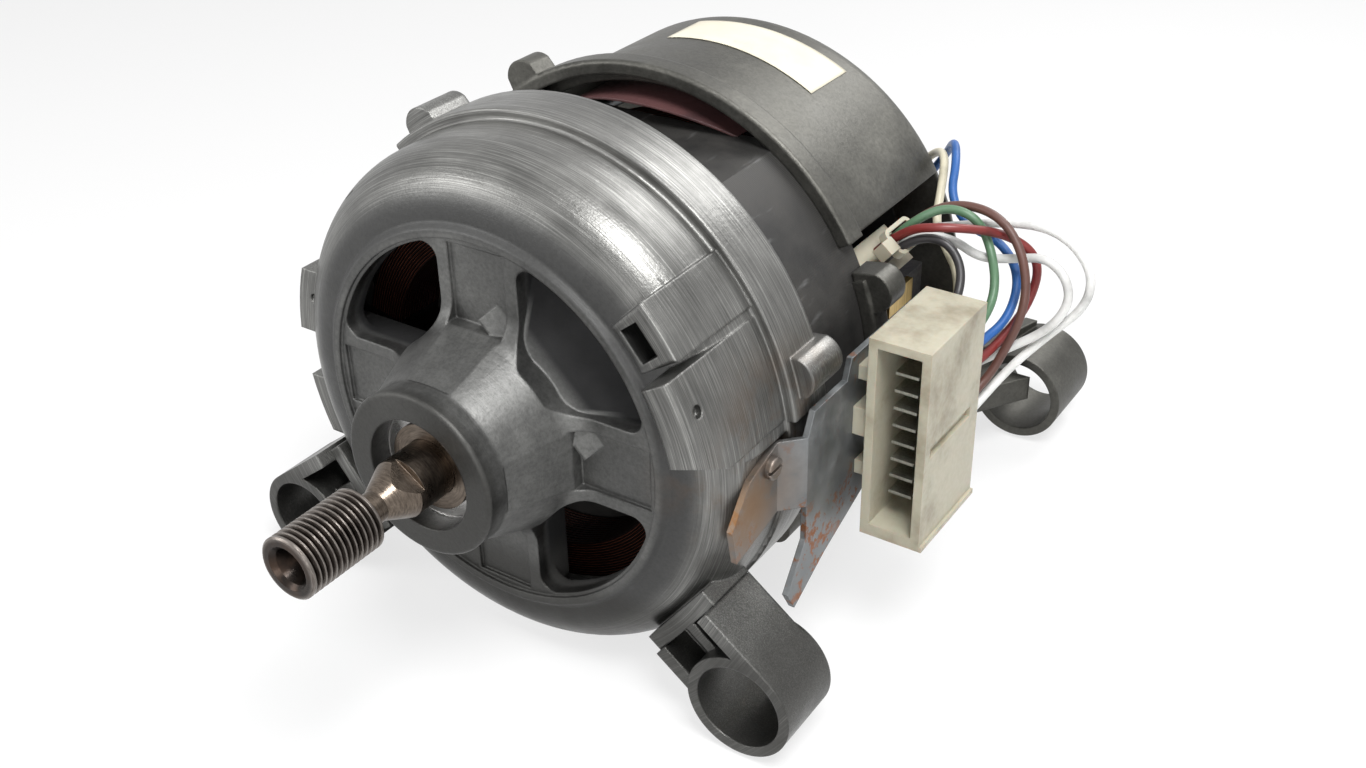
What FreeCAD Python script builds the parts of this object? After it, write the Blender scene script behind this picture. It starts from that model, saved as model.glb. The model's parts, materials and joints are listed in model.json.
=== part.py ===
import FreeCAD, Part
import math
import os
import re
import Sketcher
from FreeCAD import Placement, Rotation, Vector

# Washing machine motor, millimetres. The shaft lies along Y with its belt pulley towards -Y, Z is up and
# the wiring connector is on the +X side. The origin is the middle of the belt pulley, on the shaft axis.

SIZES = [
    # belt pulley and armature shaft
    ("rib_pitch", 1.6), ("rib_count", 14), ("pulley_r", 8.0), ("groove_depth", 1.5),
    ("centre_hole_r", 4.7), ("centre_hole_depth", 7.0), ("neck_r", 4.0), ("neck_len", 5.5),
    ("shaft_r", 7.5), ("taper_len", 7.5), ("body_r", 8.5), ("tail_r", 6.0), ("stub_r", 5.0),
    ("flat_half", 5.6), ("flat_len", 9.0),
    # drive end bracket
    ("hub_y", 31.0), ("hub_r", 22.0), ("hub_lip", 6.0), ("hub_mouth_r", 15.0), ("hub_rise", 6.5),
    ("cone_r", 29.5), ("spoke_y", 58.0), ("spoke_t", 6.5), ("ridge_r", 52.3), ("ridge_w", 2.0), ("ridge_rise", 1.6),
    ("shoulder_y", 58.5), ("shell_over", 2.0), ("shoulder_round", 16.0), ("wall", 4.5), ("flange_y", 84.6),
    ("flange_over", 5.0), ("plain_over", 3.0), ("flange_end", 99.4), ("ridge_gap", 2.8), ("window_in", 27.4),
    ("spoke_half", 12.0), ("spoke_depth", 12.0), ("window_round", 4.0), ("hub_round", 10.0), ("pocket_r", 41.0), ("channel_half", 8.5), ("channel_d", 1.0),
    ("band_low_angle", 8.0), ("band_high_angle", 131.0),
    # bosses on the drive end bracket
    ("latch_angle", 38.7), ("latch_w", 15.5), ("latch_y", 54.0), ("latch_in", 12.0), ("latch_rise", 0.8),
    ("latch_hole_w", 9.0), ("latch_hole_h", 5.5), ("pad_angle", 19.5), ("pad_w", 27.0), ("pad_y", 48.0),
    ("pad_in", 9.0), ("pad_hole_r", 1.6), ("left_pad_y", 63.0), ("left_pad_h", 19.0), ("left_pad_w", 13.0),
    ("left_block_y", 66.0), ("left_block_h", 17.0), ("left_block_over", 3.5),
    # bearings
    ("front_race_r", 17.5), ("front_race_w", 11.0), ("rear_race_r", 16.0), ("rear_race_w", 10.0),
    ("race_wall", 3.0), ("ball_r", 2.6), ("ball_count", 8), ("ball_gap", 0.25), ("shield_t", 0.4), ("cage_t", 1.0),
    ("ring_r", 11.5), ("ring_t", 1.2), ("washer_t", 0.5),
    # stator
    ("stack_r", 68.0), ("stack_len", 48.0), ("stack_flat", 56.0), ("spigot", 13.0), ("stator_bore", 36.0),
    ("slot_in", 42.0), ("slot_out", 57.0), ("slot_half_angle", 39.0), ("gap_half_angle", 12.0),
    ("coil_in", 43.0), ("coil_out", 53.0), ("coil_low_angle", 14.0), ("coil_head", 14.0), ("sheet_r", 62.0),
    ("sheet_t", 0.6), ("sheet_start", 126.5), ("sheet_end", 150.0), ("fit_gap", 0.05),
    # commutator end bracket
    ("rim_y", 128.5), ("rim_w", 7.5), ("rim_over", 4.0), ("rear_over", 0.2), ("rear_wall", 3.5), ("rear_end", 190.5),
    ("end_t", 6.0), ("rear_round", 7.0), ("vent_round", 4.0), ("vent_angle", 60.0), ("vent_half_angle", 22.0), ("arch_angle", 30.0), ("basket_angle", -10.0),
    ("rim_angle", 22.0), ("rear_hub_r", 21.0), ("rear_hub_end", 202.0), ("vent_in", 27.0), ("vent_gap", 16.2),
    # mounting lugs
    ("lug_x", 73.8), ("lug_z", -56.3), ("front_lug_y", 55.7), ("front_lug_len", 21.0), ("rear_lug_y", 227.0),
    ("rear_lug_len", 25.0), ("lug_r", 14.5), ("lug_bore", 11.7), ("web_t", 4.0), ("arm_rise", 0.5), ("arm_half", 13.5),
    # tie ears and screws
    ("ear_over", 10.0), ("ear_w", 10.0), ("ear_len", 14.0), ("ear_right_angle", 16.0), ("ear_left_angle", 124.0),
    ("tie_in", 10.5), ("tie_screw_r", 2.0), ("tie_head_r", 3.5), ("boss_r", 3.8),
    ("boss_len", 20.0), ("tie_head_h", 3.0), ("tie_angle", 45.0),
    # armature
    ("core_r", 35.5), ("core_slots", 12), ("slot_w", 3.4), ("slot_d", 12.0), ("wind_r", 32.0), ("wind_head", 13.0),
    ("comm_r", 17.0), ("comm_y", 160.0), ("comm_len", 14.0), ("comm_hub_r", 12.0), ("comm_bars", 24),
    ("bar_gap", 0.5), ("insulation_t", 0.4),
    # brushes
    ("brush_y", 167.0), ("brush_w", 12.5), ("brush_t", 5.0), ("brush_len", 26.0), ("brush_gap", 0.1),
    ("guide_clear", 0.1), ("guide_t", 0.6), ("guide_in", 20.5), ("guide_gap", 11.2), ("holder_in", 24.0),
    ("holder_w", 18.0), ("holder_len", 26.2), ("holder_t", 12.0), ("cap_t", 2.0), ("spring_r", 1.8), ("spring_wire", 0.6),
    ("spring_turns", 4),
    # tachometer
    ("magnet_r", 9.5), ("magnet_len", 8.0), ("magnet_y", 203.5), ("tacho_in", 11.5), ("tacho_out", 18.0),
    ("tacho_cap_end", 215.0), ("tacho_wall", 2.0),
    # connector and its bracket
    ("plate_over", 5.4), ("plate_t", 1.6), ("conn_over", 11.4), ("conn_w", 16.6), ("conn_y", 106.7), ("conn_len", 31.3),
    ("conn_low", -32.7), ("conn_high", 24.8), ("conn_wall", 2.4), ("socket_depth", 22.0), ("blade_t", 0.8),
    ("blade_w", 6.3), ("blade_pitch", 5.0), ("blade_count", 8), ("blade_in", 5.0), ("groove_d", 1.2), ("lip_d", 0.8), ("clip_h", 8.0), ("foot_in", 1.8),
    ("foot_y", 60.0), ("foot_screw_r", 1.8), ("foot_screw_y", 77.2), ("foot_screw_z", 1.0), ("foot_head_r", 3.0),
    ("strap_w", 11.0), ("strap_h", 5.8),
    # leads
    ("lead_r", 1.2), ("block_t", 5.0), ("block_len", 14.0), ("block_h", 12.0), ("tie_t", 1.2), ("tie_w", 2.6),
    ("clearance", 0.3),
]

# Sizes that follow from others
FOLLOWING = {
    "shell_r": "stack_r + shell_over",
    "flange_r": "stack_r + flange_over",
    "plain_r": "stack_r + plain_over",
    "rim_r": "stack_r + rim_over",
    "rear_r": "stack_r + rear_over",
    "window_r": "ridge_r - ridge_gap",
    "vent_out": "stack_r + rear_over - vent_gap",
    "arm_seat": "stack_r + shell_over + arm_rise",
    "ear_reach": "stack_r + ear_over",
    "tie_r": "stack_r - tie_in",
    "guide_end": "stack_r + rear_over - guide_gap",
    "plate_x": "stack_r + plate_over",
    "conn_x": "stack_r + conn_over",
    "foot_x": "stack_r + shell_over - foot_in",
    "seat_end": "hub_y + hub_lip + front_race_w + 1",
    "stack_y": "flange_end - spigot",
    "stack_end": "flange_end - spigot + stack_len",
}

doc = FreeCAD.newDocument("motor")
sheet = doc.addObject("Spreadsheet::Sheet", "Dims")
for row, (alias, number) in enumerate(SIZES, 1):
    sheet.set("A%d" % row, alias)
    sheet.set("B%d" % row, str(number))
    sheet.setAlias("B%d" % row, alias)
doc.recompute()

ALONG_Y = Rotation(Vector(1, 0, 0), -90)
ALONG_X = Rotation(Vector(0, 1, 0), 90)
nodes = []


def spelled(text, front=""):
    """Expression with following sizes written out, and front put before each alias."""
    def word(match):
        name = match.group()
        if name in FOLLOWING:
            return "(" + spelled(FOLLOWING[name], front) + ")"
        return front + name if name in ALIASES else name
    return re.sub("[a-z_]+", word, text)


def val(text):
    """Value of an expression in the sheet's sizes."""
    return float(sheet.evalExpression(spelled(text)))


def bind(obj, **sizes):
    """Bind properties of an object to expressions; an underscore in a name stands for a dot."""
    for prop, text in sizes.items():
        obj.setExpression(prop.replace("_", "."), tied(text))
    return obj


def tied(text):
    """Expression that a property of an object can be bound to."""
    return spelled(text, "Dims.")


ALIASES = {alias for alias, number in SIZES}


def keep(obj, label):
    """Mark an object as a piece of its own that is written out under its label."""
    obj.Label = label
    nodes.append(obj)
    return obj


def part(kind, name):
    return doc.addObject("Part::" + kind, name)


def place(obj, x="0", y="0", z="0", turn=Rotation()):
    obj.Placement = Placement(Vector(val(x), val(y), val(z)), turn)
    for axis, text in zip("xyz", (x, y, z)):
        obj.setExpression("Placement.Base." + axis, tied(text))
    return obj


def rod(name, radius, start, length, x="0", z="0"):
    """Solid cylinder along Y from start."""
    obj = part("Cylinder", name)
    bind(obj, Radius=radius, Height=length)
    return place(obj, x, start, z, ALONG_Y)


def block(name, x, y, z, dx, dy, dz):
    obj = part("Box", name)
    bind(obj, Length=dx, Width=dy, Height=dz)
    return place(obj, x, y, z)


def cut(name, base, tool):
    obj = part("Cut", name)
    obj.Base = base
    obj.Tool = tool
    return obj


def fuse(name, *parts):
    obj = part("MultiFuse", name)
    obj.Shapes = list(parts)
    obj.Refine = True
    return obj


def solid(name, shape):
    """Piece whose shape is worked out here from the sheet's sizes."""
    obj = part("Feature", name)
    obj.Shape = shape
    return obj


def ring(name, outer, inner, start, length):
    return cut(name, rod(name + "_outer", outer, start, length),
               rod(name + "_bore", inner, start + " - 1", length + " + 2"))


def outline(sketch, corners):
    """Closed outline of straight lines through the corners (x, y), expressions that stay tied to the sheet."""
    spots = [Vector(val(x), val(y), 0) for x, y in corners]
    lines = [sketch.addGeometry(Part.LineSegment(spot, spots[(k + 1) % len(spots)])) for k, spot in enumerate(spots)]
    for k, line in enumerate(lines):
        sketch.addConstraint(Sketcher.Constraint("Coincident", lines[k - 1], 2, line, 1))
        for kind, size, text in (("DistanceX", spots[k].x, corners[k][0]), ("DistanceY", spots[k].y, corners[k][1])):
            number = sketch.addConstraint(Sketcher.Constraint(kind, -1, 1, line, 1, size))
            sketch.setExpression("Constraints[%d]" % number, tied(text))


def rounded(corners):
    """Closed outline in the XY plane through corners (x, y) or (x, y, radius); a radius rounds its corner."""
    spots = [Vector(val(c[0]), val(c[1]), 0) for c in corners]
    bends = [val(c[2]) if len(c) > 2 else 0.0 for c in corners]
    edges = []
    ends = []
    for k, here in enumerate(spots):
        back = (spots[k - 1] - here).normalize()
        ahead = (spots[(k + 1) % len(spots)] - here).normalize()
        half = back.getAngle(ahead) / 2
        step = bends[k] / math.tan(half)
        ends.append((here + back * step, here + ahead * step))
        if bends[k]:
            way = (back + ahead).normalize()
            middle = here + way * (bends[k] / math.sin(half) - bends[k])
            edges.append(Part.Arc(ends[k][0], middle, ends[k][1]).toShape())
    for k, (start, end) in enumerate(ends):
        following = ends[(k + 1) % len(ends)][0]
        if end.distanceToPoint(following) > 1e-6:
            edges.append(Part.LineSegment(end, following).toShape())
    return Part.Wire(Part.__sortEdges__(edges))


def turned_shape(corners):
    """Solid of revolution about the shaft axis of an outline with rounded corners (radius, y)."""
    return Part.Face(rounded(corners)).revolve(Vector(0, 0, 0), Vector(0, 1, 0), 360)


def new_sketch(body, name, role):
    sketch = body.newObject("Sketcher::SketchObject", name)
    for plane in body.Origin.OriginFeatures:
        if plane.Role == role:
            sketch.AttachmentSupport = (plane, "")
    sketch.MapMode = "FlatFace"
    return sketch


def plate(name, corners, role, start, length):
    """Body padded from an outline. On XZ_Plane it runs towards +Y from start, on YZ_Plane towards +X."""
    body = doc.addObject("PartDesign::Body", name)
    sketch = new_sketch(body, name + "_outline", role)
    sign = "-1 * " if role == "XZ_Plane" else ""
    sketch.setExpression("AttachmentOffset.Base.z", tied(sign + "(" + start + ")"))
    doc.recompute()
    outline(sketch, corners)
    pad = body.newObject("PartDesign::Pad", name + "_pad")
    pad.Profile = sketch
    pad.Reversed = role == "XZ_Plane"
    pad.setExpression("Length", tied(length))
    return body


def wedge(radius, low, high, start, length):
    """Pie slice about the shaft axis from angle low to high, in degrees from +X towards +Z."""
    pie = Part.makeCylinder(radius, length, Vector(0, 0, 0), Vector(0, 0, 1), high - low)
    pie.Placement = Placement(Vector(0, start + length, 0), Rotation(Vector(1, 0, 0), 90))
    pie.rotate(Vector(0, 0, 0), Vector(0, -1, 0), low)
    return pie


def sector(outer, inner, low, high, start, length):
    """Part of a ring about the shaft axis."""
    slice_ = wedge(outer, low, high, start, length)
    bore = Part.makeCylinder(inner, length + 2, Vector(0, start - 1, 0), Vector(0, 1, 0))
    return slice_.cut(bore)


def polar(radius, angle):
    return radius * math.cos(math.radians(angle)), radius * math.sin(math.radians(angle))


def box(x0, x1, y0, y1, z0, z1):
    return Part.makeBox(x1 - x0, y1 - y0, z1 - z0, Vector(x0, y0, z0))


def about_shaft(shape, angle):
    out = shape.copy()
    out.rotate(Vector(0, 0, 0), Vector(0, -1, 0), angle)
    return out


def mirrored(shape):
    return shape.mirror(Vector(0, 0, 0), Vector(1, 0, 0))


# Drive end bracket

def window(angle):
    """Opening between two spokes: straight along the spokes, round along the hub and the rim."""
    half, start, depth = val("spoke_half"), val("hub_y"), val("spoke_y + spoke_t") + 4
    opening = sector(val("window_r"), val("window_in"), 0, 90, start, depth)
    opening = opening.cut(box(0, 90, 0, 200, -half, half)).cut(box(-half, half, 0, 200, 0, 90))
    for near_hub, bend in ((True, val("hub_round")), (False, val("window_round"))):
        corners = [e for e in opening.Edges if abs(e.tangentAt(e.FirstParameter).y) > 0.99
                   and (math.hypot(e.Vertexes[0].X, e.Vertexes[0].Z) < 35) == near_hub]
        opening = opening.makeFillet(bend, corners)
    return about_shaft(opening, angle)


def spoke_backs():
    """Spokes carried back as deep ribs, and a slanting wall across the upper right window."""
    low, high, half = val("front_race_r") + 2, val("ridge_r") + 3, val("spoke_half")
    start, end = val("spoke_y") + 2, val("spoke_y + spoke_depth")
    backs = [about_shaft(box(low, high, start, end, -half, half), angle) for angle in (0, 90, 180, 270)]
    edge = val("pocket_r")
    profile = [Vector(low + 3, start - 4, -21), Vector(edge, end - 4, -21), Vector(edge, end, -21), Vector(low + 3, start + 3, -21)]
    wall = Part.Face(Part.makePolygon(profile + profile[:1])).extrude(Vector(0, 0, 42))
    return backs + [about_shaft(wall, 45)]


def spoke_channel(angle):
    """Shallow flat-bottomed channel down the middle of a spoke, from the rim to the hub, for the spoke at +Z."""
    half, deep = val("channel_half"), val("channel_d")
    hub_end = Vector(-half, val("hub_y + hub_rise"), val("hub_r"))
    cone_end = Vector(-half, val("spoke_y"), val("cone_r"))
    way = (cone_end - hub_end).normalize()
    out = Vector(0, -way.z, way.y)
    low, high = hub_end - out * deep, cone_end - out * deep
    slope = Part.Face(Part.makePolygon([low, high, high + out * 12, low + out * 12, low])).extrude(Vector(2 * half, 0, 0))
    floor_y = val("spoke_y") + deep
    flat = box(-half, half, floor_y - 12, floor_y, high.z - 1, val("window_r") - 1)
    return about_shaft(slope.fuse(flat), angle)


def lug_of_ring(angle, width, inner, outer, start, length):
    """Block on the rim with a round outside, width measured round the rim."""
    half = math.degrees(width / 2 / outer)
    return sector(outer, inner, angle - half, angle + half, start, length)


def latch_boss():
    """Squared boss with a raised band running back from it to the flange."""
    outer = val("shell_r + latch_rise")
    start = val("latch_y")
    boss = lug_of_ring(val("latch_angle"), val("latch_w"), outer - val("latch_in"), outer, start, val("flange_y") - start + 1)
    edges = [e for e in boss.Edges if abs(e.CenterOfMass.y - start) < 0.01]
    return boss.makeFillet(1.2, edges)


def latch_hole():
    """Rectangular slot through the boss into the bracket."""
    half, high = val("latch_hole_w") / 2, val("latch_hole_h")
    top = val("shell_r + latch_rise") - 4.5
    return about_shaft(box(top - high, top, val("latch_y") - 1, val("latch_y") + 22, -half, half), val("latch_angle"))


def side_pad():
    """Broad pad beside the latch, its lower front corner cut off on the slant."""
    outer, start = val("shell_r + 0.3"), val("pad_y")
    pad = lug_of_ring(val("pad_angle"), val("pad_w"), outer - val("pad_in"), outer, start, val("flange_y") - start + 1)
    pad = pad.makeFillet(2.5, [e for e in pad.Edges if abs(e.CenterOfMass.y - start) < 0.01 and e.Length > 15])
    half = val("pad_w") / 2
    slant = Part.Face(Part.makePolygon([
        Vector(40, start - 1, -half - 2), Vector(40, start - 1, -half / 2), Vector(40, start + 16, -half - 2),
        Vector(40, start - 1, -half - 2)])).extrude(Vector(40, 0, 0))
    hole = Part.makeCylinder(val("pad_hole_r"), 3, Vector(outer - 2, start + 6, 4), Vector(1, 0, 0))
    return pad.cut(about_shaft(slant.fuse(hole), val("pad_angle")))


def left_bosses():
    """Pad with a small hole and a plain block on the left side of the shoulder."""
    outer = val("shell_r")
    inner = outer - val("left_pad_w")
    round_pad = Part.makeCylinder(outer + 0.4, 200, Vector(0, 0, 0), Vector(0, 1, 0))
    pad = box(-outer - 2, -inner, val("left_pad_y"), val("left_pad_y") + 16, 5, 5 + val("left_pad_h")).common(round_pad)
    pad = pad.cut(Part.makeCylinder(val("pad_hole_r"), 6, Vector(-outer + 7, val("left_pad_y") - 1, 15.5), Vector(0, 1, 0)))
    round_block = Part.makeCylinder(outer + val("left_block_over"), 200, Vector(0, 0, 0), Vector(0, 1, 0))
    low = -12 - val("left_block_h")
    block_ = box(-outer - 5, 3 - outer + 6, val("left_block_y"), val("flange_y") + 1, low, -12).common(round_block)
    return [pad, block_]


def ear(angle, start, length):
    """Tie ear: a block with a rounded crown standing out of the rim."""
    half = val("ear_w") / 2
    low = val("stack_r + clearance")
    reach = val("ear_reach")
    wire = Part.Wire([
        Part.LineSegment(Vector(low, start, -half - 1), Vector(reach - 3, start, -half)).toShape(),
        Part.Arc(Vector(reach - 3, start, -half), Vector(reach, start, 0), Vector(reach - 3, start, half)).toShape(),
        Part.LineSegment(Vector(reach - 3, start, half), Vector(low, start, half + 1)).toShape(),
        Part.LineSegment(Vector(low, start, half + 1), Vector(low, start, -half - 1)).toShape()])
    return about_shaft(Part.Face(wire).extrude(Vector(0, length, 0)), angle)


def drive_end_bracket():
    shell = solid("bracket_shell", turned_shape([
        ("hub_mouth_r", "hub_y"), ("hub_r", "hub_y", "1"), ("hub_r", "hub_y + hub_rise", "3"),
        ("cone_r", "spoke_y", "8"), ("ridge_r - ridge_w", "spoke_y", "0.2"),
        ("ridge_r - ridge_w", "shoulder_y - ridge_rise", "0.2"), ("ridge_r", "shoulder_y - ridge_rise", "0.4"),
        ("ridge_r + ridge_rise", "shoulder_y", "0.6"),
        ("shell_r", "shoulder_y", "shoulder_round"), ("shell_r", "flange_y", "0.8"),
        ("flange_r", "flange_y", "0.8"), ("flange_r", "flange_end"), ("stack_r + fit_gap", "flange_end"),
        ("stack_r + fit_gap", "stack_y"), ("shell_r - wall", "stack_y"),
        ("shell_r - wall", "spoke_y + spoke_t", "shoulder_round - wall"), ("cone_r - wall", "spoke_y + spoke_t", "2"),
        ("front_race_r + 3", "seat_end", "1"), ("front_race_r", "seat_end"), ("front_race_r", "hub_y + hub_lip"),
        ("hub_mouth_r", "hub_y + hub_lip")]))
    quarters = (0, 90, 180, 270)
    start = val("flange_y") - 2
    relief = sector(90, val("plain_r"), val("band_high_angle"), 360 + val("band_low_angle"), start, 40)
    foot_bed = box(val("foot_x"), 90, val("foot_y") - 3, val("flange_y"), -24, 7)
    tools = [window(a) for a in quarters] + [spoke_channel(a) for a in quarters] + [relief, foot_bed]
    voids = solid("windows", Part.makeCompound(tools))
    added = [ear(a, val("flange_y") + 3, val("ear_len")) for a in ear_angles(0)]
    added += [arm_pad(side, val("front_lug_y") + 5, val("front_lug_len") - 5, val("shell_r")) for side in (1, -1)]
    added += screw_bosses() + spoke_backs() + left_bosses() + [latch_boss(), side_pad()]
    drilled = screw_holes() + [latch_hole()]
    spot = Vector(val("foot_x") - 6, val("foot_screw_y"), val("foot_screw_z"))
    screw = Part.makeCylinder(val("foot_screw_r + fit_gap"), 8, spot, Vector(1, 0, 0))
    return cast("drive_bracket", cut("pierced_shell", shell, voids), added, drilled + [screw])


def ear_angles(shift):
    right, left = val("ear_right_angle"), val("ear_left_angle")
    return (right + shift, left, right + 180, left + 180)


def cast(name, base, added, drilled):
    """Casting: a shell with the pieces cast on to it, then the holes drilled through."""
    lumps = solid(name + "_lumps", added[0].multiFuse(added[1:]))
    drills = solid(name + "_drills", Part.makeCompound(drilled))
    return cut(name, fuse(name + "_raw", base, lumps), drills)


def screw_bosses():
    """Bosses inside the shoulder that the long tie screws are driven into."""
    length = val("boss_len")
    start = val("stack_y") - length
    bosses = []
    for angle in screw_angles():
        boss = Part.makeCylinder(val("boss_r"), length, Vector(val("tie_r"), start, 0), Vector(0, 1, 0))
        web = box(val("tie_r"), val("shell_r") - 2, start, start + length, -2, 2)
        inside = Part.makeCylinder(val("shell_r") - 1, 200, Vector(0, start, 0), Vector(0, 1, 0))
        bosses.append(about_shaft(boss.fuse(web).common(inside), angle))
    return bosses


def screw_holes():
    """Clearance round the tie screws, from the bosses' threads to past the end wall."""
    start = val("stack_y") - val("boss_len") + 4
    end = val("rear_end") + 1
    radius = val("tie_screw_r") + val("fit_gap")
    return [Part.makeCylinder(radius, end - start, Vector(x, start, z), Vector(0, 1, 0)) for x, z in screw_places()]


def screw_angles():
    angle = val("tie_angle")
    return (angle, 180 - angle, 180 + angle, -angle)


def arm_pad(side, start, length, radius):
    """Flat pad on a round casting that a mounting arm stands on."""
    angle = math.degrees(math.atan2(val("lug_z"), val("lug_x")))
    half = val("arm_half")
    pad = box(radius - val("wall") + 0.5, val("arm_seat"), start, start + length, -half, half)
    pad = about_shaft(pad, angle)
    return pad if side > 0 else mirrored(pad)


def front_lug(side):
    """Tube for a bolt's rubber bush, held by two webs and a floor that reach the casting's pad."""
    reach = math.hypot(val("lug_x"), val("lug_z"))
    start, length, outer = val("front_lug_y"), val("front_lug_len"), val("lug_r")
    seat, thick = val("arm_seat"), val("web_t")
    tube = Part.makeCylinder(outer, length, Vector(reach, start, 0), Vector(0, 1, 0))
    upper = box(seat, reach, start, start + length - 1, outer - thick, outer)
    lower = box(seat, reach, start + 4, start + length - 1, -outer, thick - outer)
    floor = box(seat, reach, start + length - 8, start + length - 4, 1 - outer, outer - 1)
    step = box(seat, reach - outer + 2, start + length - 16, start + length - 4, 0, 3)
    arm = tube.fuse([upper, lower, floor, step])
    arm = arm.cut(Part.makeCylinder(val("lug_bore"), length + 2, Vector(reach, start - 1, 0), Vector(0, 1, 0)))
    arm = about_shaft(arm.removeSplitter(), math.degrees(math.atan2(val("lug_z"), val("lug_x"))))
    return arm if side > 0 else mirrored(arm)


def rear_lug(side):
    """Tube on a long arm that runs back from the end wall of the commutator end bracket."""
    start, length, outer = val("rear_lug_y"), val("rear_lug_len"), val("lug_r")
    centre = Vector(val("lug_x"), start, val("lug_z"))
    tube = Part.makeCylinder(outer, length, centre, Vector(0, 1, 0))
    wall_y, low, high = val("rear_end"), val("lug_z") + 1, val("lug_z") + 9
    plan = [Vector(34, wall_y, low), Vector(56, wall_y, low), Vector(80, start + 2, low),
            Vector(80, start + length - 2, low), Vector(62, start + length - 2, low), Vector(36, wall_y + 14, low)]
    arm = Part.Face(Part.makePolygon(plan + plan[:1])).extrude(Vector(0, 0, high - low))
    rib_plan = [Vector(48, wall_y, high), Vector(52, wall_y, high), Vector(70, start + length - 2, high),
                Vector(66, start + length - 2, high)]
    rib = Part.Face(Part.makePolygon(rib_plan + rib_plan[:1])).extrude(Vector(0, 0, 7))
    whole = tube.fuse([arm, rib])
    whole = whole.cut(Part.makeCylinder(val("lug_bore"), length + 2, centre - Vector(0, 1, 0), Vector(0, 1, 0)))
    whole = whole.removeSplitter()
    return whole if side > 0 else mirrored(whole)


# Commutator end bracket

def commutator_end_bracket():
    shell = solid("rear_shell", turned_shape([
        ("stack_r + fit_gap", "rim_y"), ("rim_r", "rim_y", "1"), ("rim_r", "rim_y + rim_w - 1", "1"),
        ("rear_r", "rim_y + rim_w + 3.5", "2"), ("rear_r", "rear_end", "rear_round"), ("rear_hub_r", "rear_end", "3"),
        ("rear_hub_r", "rear_hub_end", "1"), ("rear_race_r", "rear_hub_end"),
        ("rear_race_r", "rear_hub_end - rear_race_w - 1"), ("rear_race_r - 3", "rear_hub_end - rear_race_w - 1"),
        ("rear_race_r - 3", "rear_end - end_t + 2"), ("comm_r + 2", "rear_end - end_t"),
        ("rear_r - rear_wall", "rear_end - end_t", "rear_round - rear_wall"),
        ("rear_r - rear_wall", "stack_end + fit_gap"), ("stack_r + fit_gap", "stack_end + fit_gap")]))
    y0, y1 = val("rim_y"), val("rear_end")
    side_y = y0 + val("rim_w")
    tools = []
    for low, high in ((val("basket_angle"), val("arch_angle")), (180 - val("arch_angle"), 180 - val("basket_angle"))):
        tools.append(sector(90, val("rear_hub_r") + 22, low, high, side_y, y1 - side_y - val("end_t")))
    for low, high in ((val("rim_angle"), val("arch_angle")), (180 - val("arch_angle"), 180 - val("rim_angle"))):
        tools.append(sector(90, 55, low, high, y0 - 1, side_y - y0 + 2))
    half = val("vent_half_angle")
    for middle in (val("vent_angle"), 180 - val("vent_angle"), 180 + val("vent_angle"), 360 - val("vent_angle")):
        low, high = middle - half, middle + half
        vent = sector(val("vent_out"), val("vent_in"), low, high, y1 - val("end_t") - 4, val("end_t") + 8)
        upright = [e for e in vent.Edges if abs(e.tangentAt(e.FirstParameter).y) > 0.99]
        tools.append(vent.makeFillet(val("vent_round"), upright))
    voids = solid("rear_openings", Part.makeCompound(tools))
    added = [ear(a, y0 + 0.5, val("ear_len") - 6) for a in ear_angles(3)]
    low, high = val("lug_z") + 1, val("lug_z") + 16
    inner = Part.makeCylinder(val("rear_r") - 1.5, 60, Vector(0, y1 - 40, 0), Vector(0, 1, 0))
    for side in (1, -1):
        pad = box(34, 56, y1 - 16, y1, low, high).cut(inner)
        pad = pad.fuse(box(34, 50, y1 - val("end_t"), y1, low, -20))
        added.append(pad if side > 0 else mirrored(pad))
    return cast("rear_bracket", cut("open_rear_shell", shell, voids), added, screw_holes())


# Shaft and belt pulley

def armature_shaft():
    """One turned piece: the ribbed belt pulley, the neck, the taper and the journals."""
    half = val("rib_pitch * rib_count / 2")
    crest, root, pitch = val("pulley_r"), val("pulley_r - groove_depth"), val("rib_pitch")
    rear = [(val("neck_r"), half), (val("neck_r"), half + val("neck_len")),
            (val("shaft_r"), half + val("neck_len + taper_len")), (val("shaft_r"), val("hub_y + hub_lip + front_race_w") + 3),
            (val("body_r"), val("hub_y + hub_lip + front_race_w") + 3), (val("body_r"), val("comm_y + comm_len") + 4),
            (val("tail_r"), val("comm_y + comm_len") + 4), (val("tail_r"), val("rear_hub_end")),
            (val("stub_r"), val("rear_hub_end")), (val("stub_r"), val("magnet_y + magnet_len") + 1),
            (0, val("magnet_y + magnet_len") + 1)]
    profile = [(0, -half + val("centre_hole_depth")), (val("centre_hole_r") * 0.45, -half + val("centre_hole_depth")),
               (val("centre_hole_r"), -half + 1.2), (val("centre_hole_r") + 1, -half), (crest - 0.5, -half),
               (crest, -half + 0.4)]
    crest_flat = 0.2
    for rib in range(1, int(val("rib_count"))):
        y = -half + rib * pitch
        profile += [(crest, y - pitch / 2 + crest_flat), (root, y), (crest, y + pitch / 2 - crest_flat)]
    profile += [(crest, half - 0.4), (crest - 0.5, half)] + rear
    face = Part.Face(Part.makePolygon([Vector(r, y, 0) for r, y in profile + profile[:1]]))
    shaft = face.revolve(Vector(0, 0, 0), Vector(0, 1, 0), 360)
    start = half + val("neck_len")
    for side in (1, -1):
        flat = box(-20, 20, start, start + val("flat_len"), val("flat_half"), 20)
        flat.rotate(Vector(0, 0, 0), Vector(0, 1, 0), 35 + (0 if side > 0 else 180))
        shaft = shaft.cut(flat)
    return solid("shaft", shaft)


# Bearings

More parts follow.
